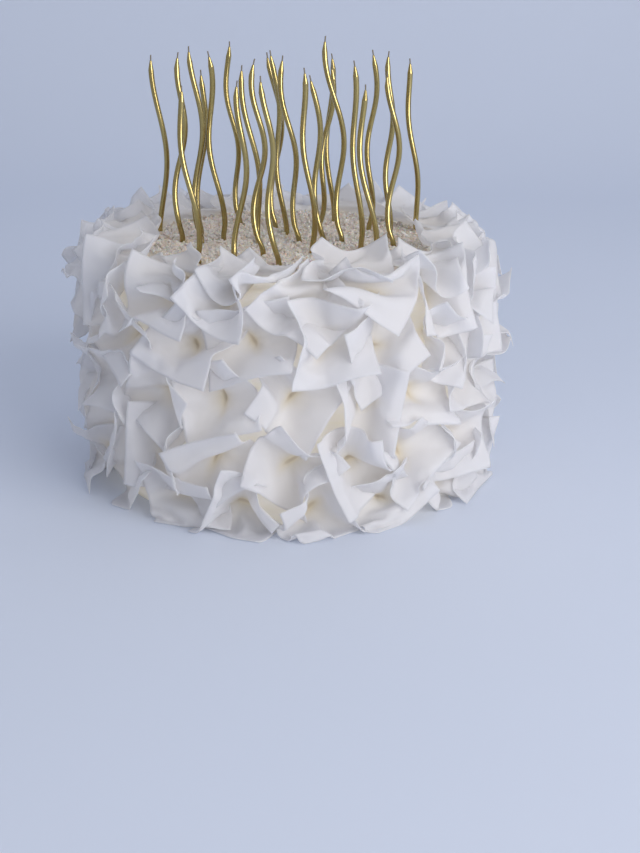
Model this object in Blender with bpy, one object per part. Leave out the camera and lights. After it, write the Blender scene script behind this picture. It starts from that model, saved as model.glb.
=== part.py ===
"""A tall round celebration cake for a table: its side and rim are covered with pinched squares of
wafer paper, its top holds a bed of sugar crystals, and thin wavy candles stand in that bed.

Metres, +Z up. The origin is the middle of the flat base, and the photographed side faces -Y.
"""

from math import cos, pi, radians, sin

import bmesh
import bpy
import numpy as np

# Cake body
CAKE_RADIUS = 0.118
CAKE_HEIGHT = 0.153
CAKE_SIDES = 48
EDGE_ROUND = 0.006

# Layer of crystals on top
BED_RADIUS = 0.095
BED_THICKNESS = 0.004
BED_RINGS = 6
BED_SEGMENTS = 6
BED_RELIEF = 0.0016
BED_SEED = 5
GAP = 0.0003

# Paper squares, each pinched at its middle and pushed into the frosting
PETAL_SIDE = 0.058
PETAL_HEEL = 0.0035
PETAL_LIFT = 0.0012
PETAL_LAYERS = 0.007
PETAL_RAYS = 12
PETAL_FINE_RAYS = 72
PETAL_SEED = 11
# Each ring of petals: pinch radius, pinch height, rise of the petals' axes in degrees, petals, and
# where the first petal stands, in degrees
PETAL_RINGS = (
    (CAKE_RADIUS, 0.017, 4, 18, -102),
    (CAKE_RADIUS, 0.049, 0, 19, -91),
    (CAKE_RADIUS, 0.086, 2, 19, -107),
    (CAKE_RADIUS, 0.120, 6, 19, -101),
    (0.1165, 0.1450, 30, 18, -86),
    (0.1050, CAKE_HEIGHT, 56, 13, -100),
)
PETAL_OVERLAP = 0.003
PETAL_LEAN = 38
NEIGHBOUR_REACH = 0.08
LEAST_OPENING = 0.15
MOST_OPENING = 1.8
OPENING_STEP = 0.05
OPENING_STEPS = 30
LEAST_SHARE = 0.4
SHARE_TRIALS = 6
HALVINGS = 30

# Room for the coat of paper: its outer radius at some heights, its top, which falls towards the
# back, and how far corners stand proud of it
BASE_CLEARANCE = 0.0006
BED_CLEARANCE = 0.1005
COAT_LEVELS = (0.0, 0.03, 0.06, 0.12, 0.16, 0.19)
COAT_RADII = (0.144, 0.148, 0.1495, 0.1495, 0.146, 0.136)
COAT_TOP, COAT_TOP_SLOPE = 0.172, -0.03
CORNER_PROUD = 0.006

# Candles
CANDLE_RADIUS = 0.0019
CANDLE_SIDES = 6
CANDLE_DEPTH = 0.022
CANDLE_RINGS = 7
EASE_IN = 0.012
CONE_LENGTH = 0.008
WICK_LENGTH = 0.003
WICK_RADIUS = 0.0005
STRAIGHT_FOOT = 0.002
DEPTH_SWING = 0.7
SOCKET_GAP = 1.3 * GAP
# Each candle in millimetres and degrees: foot x and y, height above the bed, lean to the right at
# its tip, swing of its wave, length of one wave, turn of the wave at the foot
CANDLES = (
    (-84, 24, 119, -3, 3.7, 117, 285),
    (-73, -6, 124, 5, 3.0, 81, 115),
    (-56, -62, 111, -11, 2.6, 93, 350),
    (-58, -8, 128, -2, 3.6, 99, 170),
    (-60, 12, 111, 5, 2.4, 88, 150),
    (-44, -2, 125, -9, 3.0, 92, 20),
    (-33, 49, 125, -9, 2.6, 75, 190),
    (-31, -57, 113, 3, 3.6, 97, 240),
    (-17, -5, 116, -12, 2.8, 96, 270),
    (-18, -41, 124, -1, 4.0, 82, 150),
    (-8, -72, 118, -6, 2.7, 80, 115),
    (-7, 40, 119, -3, 4.5, 105, 205),
    (-3, 20, 123, -7, 2.2, 86, 85),
    (8, -5, 122, -12, 2.9, 81, 190),
    (17, -37, 119, -9, 2.2, 84, 330),
    (22, -20, 112, -6, 3.0, 88, 130),
    (38, -2, 134, -11, 4.3, 102, 205),
    (30, 56, 117, -2, 2.6, 99, 80),
    (47, -32, 123, -7, 2.0, 90, 15),
    (54, -60, 112, -10, 3.4, 98, 25),
    (55, 28, 123, 2, 2.6, 79, 10),
    (67, 8, 124, 0, 2.1, 71, 50),
    (70, -18, 114, -3, 3.9, 88, 185),
    (90, 29, 117, -11, 1.8, 79, 280),
    (21, 34, 113, 9, 2.3, 73, 10),
)


def clear_scene():
    for thing in list(bpy.data.objects):
        bpy.data.objects.remove(thing, do_unlink=True)


def material(name, colour, roughness, metallic=0.0):
    """A plain finish for one kind of piece."""
    made = bpy.data.materials.new(name)
    made.use_nodes = True
    shader = made.node_tree.nodes["Principled BSDF"]
    shader.inputs["Base Color"].default_value = (*colour, 1)
    shader.inputs["Roughness"].default_value = roughness
    shader.inputs["Metallic"].default_value = metallic
    return made


def mesh_object(name, points, faces, finish=None, collection=None):
    """An object made from points and faces, with its faces turned outwards."""
    mesh = bpy.data.meshes.new(name)
    mesh.from_pydata([tuple(point) for point in points], [], faces)
    bm = bmesh.new()
    bm.from_mesh(mesh)
    bmesh.ops.recalc_face_normals(bm, faces=bm.faces)
    bm.to_mesh(mesh)
    bm.free()
    made = bpy.data.objects.new(name, mesh)
    (collection or bpy.context.scene.collection).objects.link(made)
    if finish:
        mesh.materials.append(finish)
    return made


def stacked_rings(rings):
    """Points and faces of a closed tube through rings of points, with flat ends."""
    count = len(rings[0])
    points = [point for ring in rings for point in ring]
    faces = [tuple(reversed(range(count)))]
    for low in range(0, len(points) - count, count):
        for side in range(count):
            after = (side + 1) % count
            faces.append((low + side, low + after, low + count + after, low + count + side))
    faces.append(tuple(range(len(points) - count, len(points))))
    return points, faces


def ring(radius, height, sides, centre=(0, 0)):
    angles = [2 * pi * side / sides for side in range(sides)]
    return [(centre[0] + radius * cos(a), centre[1] + radius * sin(a), height) for a in angles]


def boolean(target, operation, tool):
    """Joins or cuts the target with a collection of closed meshes, which is then removed."""
    modifier = target.modifiers.new(operation.title(), "BOOLEAN")
    modifier.operation = operation
    modifier.operand_type = "COLLECTION"
    modifier.collection = tool
    modifier.solver = "EXACT"
    graph = bpy.context.evaluated_depsgraph_get()
    result = bpy.data.meshes.new_from_object(target.evaluated_get(graph))
    target.modifiers.clear()
    target.data = result
    for piece in list(tool.objects):
        bpy.data.objects.remove(piece, do_unlink=True)
    bpy.data.collections.remove(tool)


def keep_largest_shell(target):
    """Fills sealed hollows and drops loose scraps, which are all shells of their own."""
    bm = bmesh.new()
    bm.from_mesh(target.data)
    unseen = set(bm.faces)
    shells = []
    while unseen:
        shell = [unseen.pop()]
        for face in shell:
            for edge in face.edges:
                for other in edge.link_faces:
                    if other in unseen:
                        unseen.remove(other)
                        shell.append(other)
        shells.append(shell)
    shells.sort(key=len)
    for shell in shells[:-1]:
        bmesh.ops.delete(bm, geom=shell, context="FACES")
    bm.to_mesh(target.data)
    bm.free()


def unit(vector):
    return vector / np.linalg.norm(vector)


def outward(angle, rise):
    """Unit vector that points away from the cake's axis and rises by an angle."""
    return np.array([cos(angle) * cos(rise), sin(angle) * cos(rise), sin(rise)])


def petal_sites():
    """Pinch point, axis and two cross directions of every petal, ring by ring."""
    draw = np.random.default_rng(PETAL_SEED)
    sites = []
    for index, (radius, height, rise, count, start) in enumerate(PETAL_RINGS):
        for step in range(count):
            angle = radians(start) + 2 * pi * (step + draw.uniform(-0.1, 0.1)) / count
            lift = draw.uniform(-0.004, 0.004) if index < len(PETAL_RINGS) - 1 else 0.0
            pinch = outward(angle, 0) * radius + np.array([0, 0, height + lift])
            axis = outward(angle + radians(draw.uniform(-14, 14)), radians(rise + draw.uniform(-13, 13)))
            layer = PETAL_LIFT + draw.uniform(0, PETAL_LAYERS)
            pinch = pinch + axis * layer
            spin = draw.uniform(0, pi / 2)
            across = unit(np.cross(axis, (0.3, 0.2, 1)))
            above = np.cross(axis, across)
            side = across * cos(spin) + above * sin(spin)
            sites.append((pinch, axis, side, np.cross(axis, side), layer))
    return sites


def fold_of(draw):
    """One petal's fold: count, depth and turn of the two waves that its opening angle makes."""
    waves = draw.choice((2, 2, 3))
    depth = draw.uniform(0.62, 0.86) / waves
    minor = draw.uniform(0.1, 0.3) / (waves + 1)
    return waves, depth, draw.uniform(0, 2 * pi), minor, draw.uniform(0, 2 * pi)


def cone_directions(fold):
    """Opening angle and bearing, round a developable cone, of rays even on the flat paper.

    The rays' directions trace a closed curve of length 2 pi on the unit sphere, so the paper
    folds without stretching. The mean opening angle that closes it is found by halving.
    """
    waves, depth, turn, minor, minor_turn = fold
    flat = np.linspace(0, 2 * pi, PETAL_FINE_RAYS, endpoint=False)
    swing = depth * np.cos(waves * flat + turn) + minor * np.cos((waves + 1) * flat + minor_turn)
    slope = -waves * depth * np.sin(waves * flat + turn)
    slope = slope - (waves + 1) * minor * np.sin((waves + 1) * flat + minor_turn)
    along = np.sqrt(np.maximum(1 - slope**2, 0.01)) * 2 * pi / len(flat)
    low, high = 0.3, pi / 2
    for _ in range(HALVINGS):
        mean = (low + high) / 2
        steps = along / np.sin(np.clip(mean + swing, LEAST_OPENING, pi - LEAST_OPENING))
        low, high = (mean, high) if steps.sum() > 2 * pi else (low, mean)
    bearing = np.cumsum(steps) * 2 * pi / steps.sum()
    return flat, mean + swing, bearing


def has_room(points, walls, proud):
    """True for points in a petal's cell and in the coat, off the cake, its bed and the base."""
    height = points[..., 2]
    radius = np.linalg.norm(points[..., :2], axis=-1)
    free = (height > BASE_CLEARANCE) & (height < COAT_TOP + COAT_TOP_SLOPE * points[..., 1] + proud)
    free &= radius < np.interp(height, COAT_LEVELS, COAT_RADII) + proud
    high = height > CAKE_HEIGHT + PETAL_LIFT
    free &= np.where(high, radius > BED_CLEARANCE, radius > CAKE_RADIUS + PETAL_LIFT)
    for middle, normal in walls:
        free &= (points - middle) @ normal < PETAL_OVERLAP
    return free


def softened(values):
    """Values round a petal, each blended with its neighbours."""
    weights = (1, 3, 4, 3, 1)
    return sum(np.roll(values, shift - 2) * weight for shift, weight in enumerate(weights)) / 12


def petal_edge(site, fold, walls):
    """Points round the edge of the folded square, one for each ray on the flat paper.

    A ray that would leave the petal's room opens or closes by the least angle that brings it
    back, as paper does in a crowd, and is shortened only where no angle will do.
    """
    pinch, axis, side, up, _ = site
    flat, opening, bearing = cone_directions(fold)
    reach = PETAL_SIDE / 2 / np.maximum(abs(np.cos(flat)), abs(np.sin(flat)))
    proud = CORNER_PROUD * (reach / (PETAL_SIDE / 2) - 1)[:, None] / (2**0.5 - 1)
    away = np.outer(np.cos(bearing), side) + np.outer(np.sin(bearing), up)
    turns = sorted(OPENING_STEP * np.arange(-OPENING_STEPS, OPENING_STEPS + 1), key=abs)
    tilts = np.clip(opening[:, None] + turns, LEAST_OPENING, MOST_OPENING)
    rays = np.cos(tilts)[..., None] * axis + np.sin(tilts)[..., None] * away[:, None]
    tilt, share = np.full(len(flat), LEAST_OPENING), np.full(len(flat), LEAST_SHARE)
    for trial in np.linspace(LEAST_SHARE, 1, SHARE_TRIALS):
        free = has_room(pinch + trial * reach[:, None, None] * rays, walls, proud)
        fits = free.any(axis=1)
        tilt = np.where(fits, tilts[np.arange(len(flat)), free.argmax(axis=1)], tilt)
        share = np.where(fits, trial, share)
    tilt, share = softened(tilt), softened(share) * reach
    edge = pinch + share[:, None] * (np.outer(np.cos(tilt), axis) + np.sin(tilt)[:, None] * away)
    edge[:, 2] = np.maximum(edge[:, 2], BASE_CLEARANCE)
    return edge


def cell_walls(sites):
    """For each petal, the leaning planes that part it from its neighbours: point and normal."""
    draw = np.random.default_rng(PETAL_SEED + 1)
    walls = [[] for _ in sites]
    for first in range(len(sites)):
        for second in range(first + 1, len(sites)):
            between = sites[second][0] - sites[first][0]
            distance = np.linalg.norm(between)
            lean = radians(draw.uniform(-PETAL_LEAN, PETAL_LEAN))
            if distance > NEIGHBOUR_REACH:
                continue
            mean_axis = sites[first][1] + sites[second][1]
            mean_axis = unit(mean_axis - between * (mean_axis @ between) / distance**2)
            normal = cos(lean) * between / distance + sin(lean) * mean_axis
            middle = (sites[first][0] + sites[second][0]) / 2
            walls[first].append((middle, normal))
            walls[second].append((middle, -normal))
    return walls


def petal_solid(name, site, tips, collection):
    """A thin solid fan: both faces split alike, thickest at the heel that sits in the frosting."""
    pinch, axis, *_, layer = site
    heel = pinch - axis * (layer + PETAL_HEEL)
    faces = []
    for ray in range(len(tips)):
        here, after = 2 + ray, 2 + (ray + 1) % len(tips)
        faces.append((0, here, after))
        faces.append((1, after, here))
    return mesh_object(name, [pinch, heel, *tips], faces, collection=collection)


def cake_with_petals(finish):
    """The frosted body with every petal fused to it."""
    profile = [
        (CAKE_RADIUS, 0),
        (CAKE_RADIUS, CAKE_HEIGHT - EDGE_ROUND),
        (CAKE_RADIUS - EDGE_ROUND * 0.3, CAKE_HEIGHT - EDGE_ROUND * 0.3),
        (CAKE_RADIUS - EDGE_ROUND, CAKE_HEIGHT),
    ]
    cake = mesh_object(
        "frosted_cake", *stacked_rings([ring(r, z, CAKE_SIDES) for r, z in profile]), finish
    )
    petals = bpy.data.collections.new("petals")
    bpy.context.scene.collection.children.link(petals)
    sites = petal_sites()
    walls = cell_walls(sites)
    draw = np.random.default_rng(PETAL_SEED + 2)
    for index, site in enumerate(sites):
        edge = petal_edge(site, fold_of(draw), walls[index])
        step = PETAL_FINE_RAYS // PETAL_RAYS
        first_corner = PETAL_FINE_RAYS // 8
        petal_solid(f"petal_{index:03d}", site, edge[first_corner % step :: step], petals)
    boolean(cake, "UNION", petals)
    keep_largest_shell(cake)
    return cake


def crystal_bed(finish):
    """A thin disc whose top has bumps as rough as heaped crystals."""
    draw = np.random.default_rng(BED_SEED)
    floor = CAKE_HEIGHT + GAP
    top = floor + BED_THICKNESS
    points = [(0, 0, top), (0, 0, floor)]
    starts = []
    for index in range(1, BED_RINGS + 1):
        starts.append(len(points))
        radius = BED_RADIUS * index / BED_RINGS
        for x, y, z in ring(radius, top, BED_SEGMENTS * index):
            relief = draw.uniform(-BED_RELIEF, BED_RELIEF) if index < BED_RINGS else -BED_RELIEF
            points.append((x, y, z + relief))
    faces = []
    for side in range(BED_SEGMENTS):
        faces.append((0, starts[0] + side, starts[0] + (side + 1) % BED_SEGMENTS))
    for inner, outer, index in zip(starts, starts[1:], range(1, BED_RINGS)):
        faces += band(inner, BED_SEGMENTS * index, outer, BED_SEGMENTS * (index + 1))
    rim, count = starts[-1], BED_SEGMENTS * BED_RINGS
    foot = len(points)
    points += [(x, y, floor) for x, y, _ in points[rim : rim + count]]
    for side in range(count):
        after = (side + 1) % count
        faces.append((rim + side, foot + side, foot + after, rim + after))
        faces.append((1, foot + after, foot + side))
    return mesh_object("sugar_crystals", points, faces, finish)


def band(inner, inner_count, outer, outer_count):
    """Triangles between two rings of points."""
    faces = []
    a, b = 0, 0
    while a < inner_count or b < outer_count:
        next_inner = 2 * pi * (a + 1) / inner_count
        next_outer = 2 * pi * (b + 1) / outer_count
        here_in, here_out = inner + a % inner_count, outer + b % outer_count
        if b >= outer_count or (a < inner_count and next_inner < next_outer):
            faces.append((here_in, here_out, inner + (a + 1) % inner_count))
            a += 1
        else:
            faces.append((here_in, here_out, outer + (b + 1) % outer_count))
            b += 1
    return faces


def candle_line(candle, rise):
    """Middle of a candle at a height above the bed, in metres."""
    height, lean, swing, wave, turn = candle[2:]
    above = max(rise * 1000, 0)
    angle = 2 * pi * above / wave + radians(turn)
    ease = min(above / (EASE_IN * 1000), 1)
    ease = ease * ease * (3 - 2 * ease)
    x = lean * above / height + swing * (sin(angle) - sin(radians(turn))) * ease
    y = DEPTH_SWING * swing * (cos(angle) - cos(radians(turn))) * ease
    return foot(candle)[0] + x / 1000, foot(candle)[1] + y / 1000


def foot(candle):
    """Where the candle meets the bed: its wave starts away from its mean line."""
    return (candle[0] + candle[4] * sin(radians(candle[6]))) / 1000, candle[1] / 1000


def wavy_candle(name, candle, finish):
    """A wavy rod with a straight foot in its socket, a cone at the tip and a short wick."""
    bed_top = CAKE_HEIGHT + GAP + BED_THICKNESS
    height = candle[2] / 1000
    shoulder = height - CONE_LENGTH - WICK_LENGTH
    stations = [(-CANDLE_DEPTH, CANDLE_RADIUS), (STRAIGHT_FOOT, CANDLE_RADIUS)]
    stations += [
        (shoulder * (step + 1) / CANDLE_RINGS, CANDLE_RADIUS) for step in range(CANDLE_RINGS)
    ]
    stations += [(height - WICK_LENGTH, WICK_RADIUS), (height, WICK_RADIUS * 0.8)]
    rings = [
        ring(radius, bed_top + rise, CANDLE_SIDES, candle_line(candle, rise))
        for rise, radius in stations
    ]
    return mesh_object(name, *stacked_rings(rings), finish)


def cut_sockets(targets):
    """Cuts the candles' sockets through the crystals and into the cake."""
    bed_top = CAKE_HEIGHT + GAP + BED_THICKNESS
    for target in targets:
        cutters = bpy.data.collections.new("sockets")
        bpy.context.scene.collection.children.link(cutters)
        for index, candle in enumerate(CANDLES):
            low = bed_top - CANDLE_DEPTH - GAP
            high = bed_top + 3 * BED_RELIEF
            radius = CANDLE_RADIUS + SOCKET_GAP
            rings = [ring(radius, z, CANDLE_SIDES, foot(candle)) for z in (low, high)]
            mesh_object(f"socket_{index:02d}", *stacked_rings(rings), collection=cutters)
        boolean(target, "DIFFERENCE", cutters)


def main():
    clear_scene()
    paper = material("wafer_paper", (0.86, 0.85, 0.87), 0.75)
    sugar = material("sugar_crystal", (0.84, 0.80, 0.74), 0.2)
    gold = material("candle_gold", (0.72, 0.56, 0.18), 0.3, 0.9)
    cake = cake_with_petals(paper)
    bed = crystal_bed(sugar)
    cut_sockets((cake, bed))
    for index, candle in enumerate(CANDLES):
        wavy_candle(f"candle_{index + 1:02d}", candle, gold)


main()
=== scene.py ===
# %% [markdown]
# A tall birthday cake, dressed around its imported solids. The solids give the size and place of
# every piece, so this lesson starts by loading them.

# %% Load the frame
from math import cos, pi, radians, sin

import bmesh
import bpy
import numpy as np
from mathutils import Matrix, Vector, noise


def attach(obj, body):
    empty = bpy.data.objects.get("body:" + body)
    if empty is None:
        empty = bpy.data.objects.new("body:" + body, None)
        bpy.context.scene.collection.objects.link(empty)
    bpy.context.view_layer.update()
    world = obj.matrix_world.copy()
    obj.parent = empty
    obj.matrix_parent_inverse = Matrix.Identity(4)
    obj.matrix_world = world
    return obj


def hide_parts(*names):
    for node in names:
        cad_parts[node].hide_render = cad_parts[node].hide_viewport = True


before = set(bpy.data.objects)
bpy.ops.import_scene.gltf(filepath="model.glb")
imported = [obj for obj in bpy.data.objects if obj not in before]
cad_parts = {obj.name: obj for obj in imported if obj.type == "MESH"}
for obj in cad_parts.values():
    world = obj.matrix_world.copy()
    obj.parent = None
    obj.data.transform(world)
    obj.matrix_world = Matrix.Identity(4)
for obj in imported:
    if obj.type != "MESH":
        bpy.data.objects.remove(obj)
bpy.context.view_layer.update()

CANDLE_NODES = sorted(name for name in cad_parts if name.startswith("candle_"))
print(len(CANDLE_NODES), "candles")

# %% [markdown]
# The camera looks at the cake as the photographer did: from a metre away, a little above the tips
# of the candles, tipped down by twenty degrees. Its axes are written out from three angles,
# because the picture also leans by less than half a degree.

# %% Camera
CAMERA_PLACE = (0.001, -1.020, 0.398)
CAMERA_PITCH, CAMERA_YAW, CAMERA_ROLL = radians(20.1), radians(1.2), radians(0.43)
PICTURE_HEIGHT = 853
FOCAL_PIXELS = 1550
SENSOR = 36.0
NEAREST = 0.05


def photo_camera():
    """The camera, as right, up and back axes set side by side in its matrix."""
    level_reach = cos(CAMERA_PITCH)
    ahead = Vector((sin(CAMERA_YAW) * level_reach, cos(CAMERA_YAW) * level_reach, -sin(CAMERA_PITCH)))
    level = Vector((cos(CAMERA_YAW), -sin(CAMERA_YAW), 0))
    above = level.cross(ahead)
    right = level * cos(CAMERA_ROLL) + above * sin(CAMERA_ROLL)
    up = above * cos(CAMERA_ROLL) - level * sin(CAMERA_ROLL)
    data = bpy.data.cameras.new("photo_camera")
    data.sensor_fit = "VERTICAL"
    data.sensor_height = SENSOR
    data.lens = SENSOR * FOCAL_PIXELS / PICTURE_HEIGHT
    data.clip_start = NEAREST
    made = bpy.data.objects.new("photo_camera", data)
    bpy.context.scene.collection.objects.link(made)
    turn = Matrix((right, up, -ahead)).transposed().to_4x4()
    made.matrix_world = Matrix.Translation(CAMERA_PLACE) @ turn
    bpy.context.scene.camera = made
    return made


photo_camera()
print("camera at", CAMERA_PLACE)

# %% [markdown]
# Shader sums read best as Python. This small class wraps a socket, so that `1 - mask * 0.5` adds
# the Math nodes by itself. Colours go through Mix nodes, because a Math node would turn them grey.

# %% Sockets that can be added and multiplied


class Signal:
    """A number that changes over a surface, as the output socket of a node."""

    def __init__(self, finish, socket):
        self.finish = finish
        self.socket = socket

    def math(self, operation, first, second):
        return self.finish.node("Math", {"operation": operation}, {0: first, 1: second})

    def __add__(self, other):
        return self.math("ADD", self, other)

    def __sub__(self, other):
        return self.math("SUBTRACT", self, other)

    def __rsub__(self, other):
        return self.math("SUBTRACT", other, self)

    def __mul__(self, other):
        return self.math("MULTIPLY", self, other)

    __radd__ = __add__
    __rmul__ = __mul__


class Finish:
    """One material, and the nodes that make it."""

    def __init__(self, name):
        self.material = bpy.data.materials.new(name)
        self.material.use_nodes = True
        self.tree = self.material.node_tree
        self.shader = self.tree.nodes["Principled BSDF"]
        self.out = self.tree.nodes["Material Output"]

    def node(self, kind, settings=None, inputs=None, output=0):
        """Adds a node: its settings first, then the values or links of its sockets."""
        made = self.tree.nodes.new("ShaderNode" + kind)
        for name, value in (settings or {}).items():
            if name == "stops":
                self.set_stops(made.color_ramp, value)
            else:
                setattr(made, name, value)
        self.feed(made, inputs or {})
        return Signal(self, made.outputs[output])

    def feed(self, node, inputs):
        for name, value in inputs.items():
            if isinstance(value, Signal):
                self.tree.links.new(value.socket, node.inputs[name])
            else:
                node.inputs[name].default_value = value

    def set_stops(self, ramp, stops):
        while len(ramp.elements) < len(stops):
            ramp.elements.new(1.0)
        for element, (place, colour) in zip(ramp.elements, stops):
            element.position = place
            element.color = (*colour, 1)

    def blend(self, factor, first, second):
        """A colour between two others."""
        values = {0: factor, 6: colour_of(first), 7: colour_of(second)}
        return self.node("Mix", {"data_type": "RGBA"}, values, output=2)

    def noise(self, scale, detail=2.0, where=None):
        values = {"Scale": scale, "Detail": detail}
        if where:
            values["Vector"] = where
        return self.node("TexNoise", {}, values)

    def place(self):
        """Where a point is, in metres."""
        return self.node("TexCoord", output=3)

    def painted(self, name):
        """A number stored on the mesh's points."""
        return self.node("Attribute", {"attribute_name": name}, output=2)

    def ramp(self, value, *stops):
        return self.node("ValToRGB", {"stops": stops}, {0: value})

    def bump(self, height, distance, strength=1.0):
        values = {"Height": height, "Distance": distance, "Strength": strength}
        return self.node("Bump", {}, values)


def colour_of(value):
    return value if isinstance(value, Signal) else (*value, 1)


print("shader helpers ready")

# %% [markdown]
# Wafer paper is a thin white sheet made of starch. It is matt and lets some light through. Round the
# pinch, deep in each cone, it is painted cream for the warm light there, with a thin tan line of
# painted shade along the crease, and deep in the coat it is painted a little ivory for the shade
# between the petals. Mixing a Translucent shader into the Principled one lets the light through a
# single sheet, which subsurface scattering, made for thick bodies, does badly. The mesh carries how
# near each point is to the pinch, and its flat place beside the crease, from which the finish draws
# the crease's thin tan line of painted shade.

# %% Wafer paper
PAPER_WHITE = (0.97, 0.965, 0.975)
PAPER_GREY = (0.93, 0.925, 0.95)
# painted shade: the ivory tint of paper deep in the coat
PAPER_RECESS_SHADE = (0.965, 0.95, 0.925)
# painted light: the cream round each pinch; painted shade: the tan line along its crease
PAPER_PINCH_LIGHT = (0.94, 0.84, 0.62)
PAPER_CREASE_SHADE = (0.50, 0.38, 0.21)
PAPER_THROUGH = (0.975, 0.97, 0.97)
PAPER_TRANSLUCENT = 0.57
CREASE_LENGTH, CREASE_WIDTH, CREASE_WOBBLE = 0.0075, 0.0015, 0.0016


def crease_shade_line(finish, clouds):
    """Mask of the painted crease shade: one along the middle of a crease, falling to nothing at its thin
    oval edge.
    """
    along = finish.painted("along") * (1 / CREASE_LENGTH)
    across = (finish.painted("across") + clouds * CREASE_WOBBLE - CREASE_WOBBLE / 2) * (1 / CREASE_WIDTH)
    return finish.ramp(1 - along * along - across * across, (0.0, (0, 0, 0)), (1.0, (1, 1, 1)))


def wafer_paper():
    """White paper, painted cream round its pinch for the warm light there, and with painted shade along
    its crease.
    """
    made = Finish("wafer_paper")
    where = made.place()
    crease, buried = made.painted("crease"), made.painted("buried")
    tone = made.painted("tone")
    clouds = made.noise(38.0, 3.0, where)
    # painted warm light round the pinch, deep in the petal's cone
    pinch_light_mask = made.ramp(crease + clouds * 0.3 - 0.15, (0.14, (0, 0, 0)), (0.6, (1, 1, 1)))
    # painted shade: paper deep in the coat, between the petals, turns ivory
    inner = made.ramp(buried + clouds * 0.3 - 0.15, (0.3, (0, 0, 0)), (1.0, (1, 1, 1)))
    # painted shade: the thin tan line along the crease
    warm = made.blend(crease_shade_line(made, clouds) * (0.5 + tone * 0.5), PAPER_PINCH_LIGHT, PAPER_CREASE_SHADE)
    own_tone = made.blend(clouds * 0.5 + tone * 0.2, PAPER_WHITE, PAPER_GREY)
    shaded = made.blend(inner * 0.6, own_tone, PAPER_RECESS_SHADE)
    colour = made.blend(pinch_light_mask * 0.9, shaded, warm)
    dimples = made.noise(520.0, 2.0, where)
    fibres = made.noise(1900.0, 2.0, where)
    buckles = made.noise(95.0, 1.0, where)
    height = buckles * 0.55 + dimples * 0.3 + fibres * 0.12
    normal = made.bump(height, 0.0005, 0.55)
    made.feed(made.shader, {"Base Color": colour, "Roughness": 0.62 + dimples * 0.16, "Normal": normal})
    made.feed(made.shader, {"Specular IOR Level": 0.3, "Sheen Weight": 0.08})
    through = made.node("BsdfTranslucent", {}, {"Color": (*PAPER_THROUGH, 1)})
    plain = Signal(made, made.shader.outputs[0])
    sheet = made.node("MixShader", {}, {0: PAPER_TRANSLUCENT, 1: plain, 2: through})
    made.feed(made.out, {"Surface": sheet})
    return made.material


PAPER = wafer_paper()
print("finish", PAPER.name)

# %% [markdown]
# Under the paper is smooth buttercream. Little of it shows, but it colours what bounces between
# the petals, so it gets the warm white and the faint strokes of the palette knife. A faint, uneven
# glow stands for the light that many thin layers of paper pass on to it, one through another.

# %% Buttercream
CREAM_LIGHT = (0.96, 0.93, 0.85)
CREAM_SHADE = (0.93, 0.88, 0.78)
CREAM_BLEED = (0.004, 0.003, 0.002)
CREAM_GLOW = (1.0, 0.95, 0.86)
CREAM_GLOW_DEEP = (0.74, 0.64, 0.47)
GLOW_STRENGTH = 0.19


def buttercream():
    """Warm white cream, smeared round the cake."""
    made = Finish("buttercream")
    where = made.place()
    strokes = made.node("Mapping", {}, {"Vector": where, "Scale": (1, 1, 6)})
    smear = made.noise(22.0, 4.0, strokes)
    grain = made.noise(700.0, 2.0, where)
    colour = made.blend(smear, CREAM_LIGHT, CREAM_SHADE)
    normal = made.bump(smear * 0.8 + grain * 0.1, 0.0012, 0.6)
    made.feed(made.shader, {"Base Color": colour, "Roughness": 0.42 + smear * 0.2, "Normal": normal})
    made.feed(made.shader, {"Subsurface Weight": 0.15, "Subsurface Radius": CREAM_BLEED})
    uneven = made.ramp(smear, (0.35, (0, 0, 0)), (0.65, (1, 1, 1)))
    glow = made.blend(uneven, CREAM_GLOW, CREAM_GLOW_DEEP)
    made.feed(made.shader, {"Emission Color": glow, "Emission Strength": GLOW_STRENGTH})
    return made.material


BUTTERCREAM = buttercream()
print("finish", BUTTERCREAM.name)

# %% [markdown]
# The crystals on the top are coarse sugar: angular grains, clear or faintly beige, with bright
# glints on their flat faces. Partly clear, partly cloudy grains need a Principled shader whose
# transmission is a constant, with the beige changing from grain to grain.

# %% Sugar crystals
SUGAR_CLEAR = (0.98, 0.92, 0.855)
SUGAR_BEIGE = (0.89, 0.765, 0.64)
SUGAR_BLEED = (0.004, 0.003, 0.002)


def sugar(name, transmission, roughness, bleeding):
    """Crystals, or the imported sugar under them."""
    made = Finish(name)
    where = made.place()
    tone = made.painted("tone")
    cloud = made.noise(420.0, 2.0, where)
    colour = made.blend(tone * 0.8 + cloud * 0.2, SUGAR_CLEAR, SUGAR_BEIGE)
    normal = made.bump(made.noise(1500.0, 2.0, where), 0.0002, 0.4)
    made.feed(made.shader, {"Base Color": colour, "Roughness": roughness + cloud * 0.12, "Normal": normal})
    made.feed(made.shader, {"Transmission Weight": transmission, "IOR": 1.5})
    made.feed(made.shader, {"Subsurface Weight": bleeding, "Subsurface Radius": SUGAR_BLEED})
    return made.material


SUGAR_GRAIN = sugar("sugar_grain", 0.15, 0.1, 0.5)
SUGAR_DUST = sugar("sugar_dust", 0.0, 0.5, 0.3)
print("finishes", SUGAR_GRAIN.name, SUGAR_DUST.name)

# %% [markdown]
# The candles are wax dipped in a metallic gold lacquer: yellow where light strikes, olive in the
# shade, a little streaky along their length. The same finish has to turn into dark string at the
# wick, so the mesh marks the wick and the finish blends colour, metal and roughness by that mark.

# %% Candle gold
GOLD_BRIGHT = (0.49, 0.39, 0.15)
GOLD_OLIVE = (0.33, 0.25, 0.075)
WICK_DARK = (0.22, 0.19, 0.14)


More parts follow.
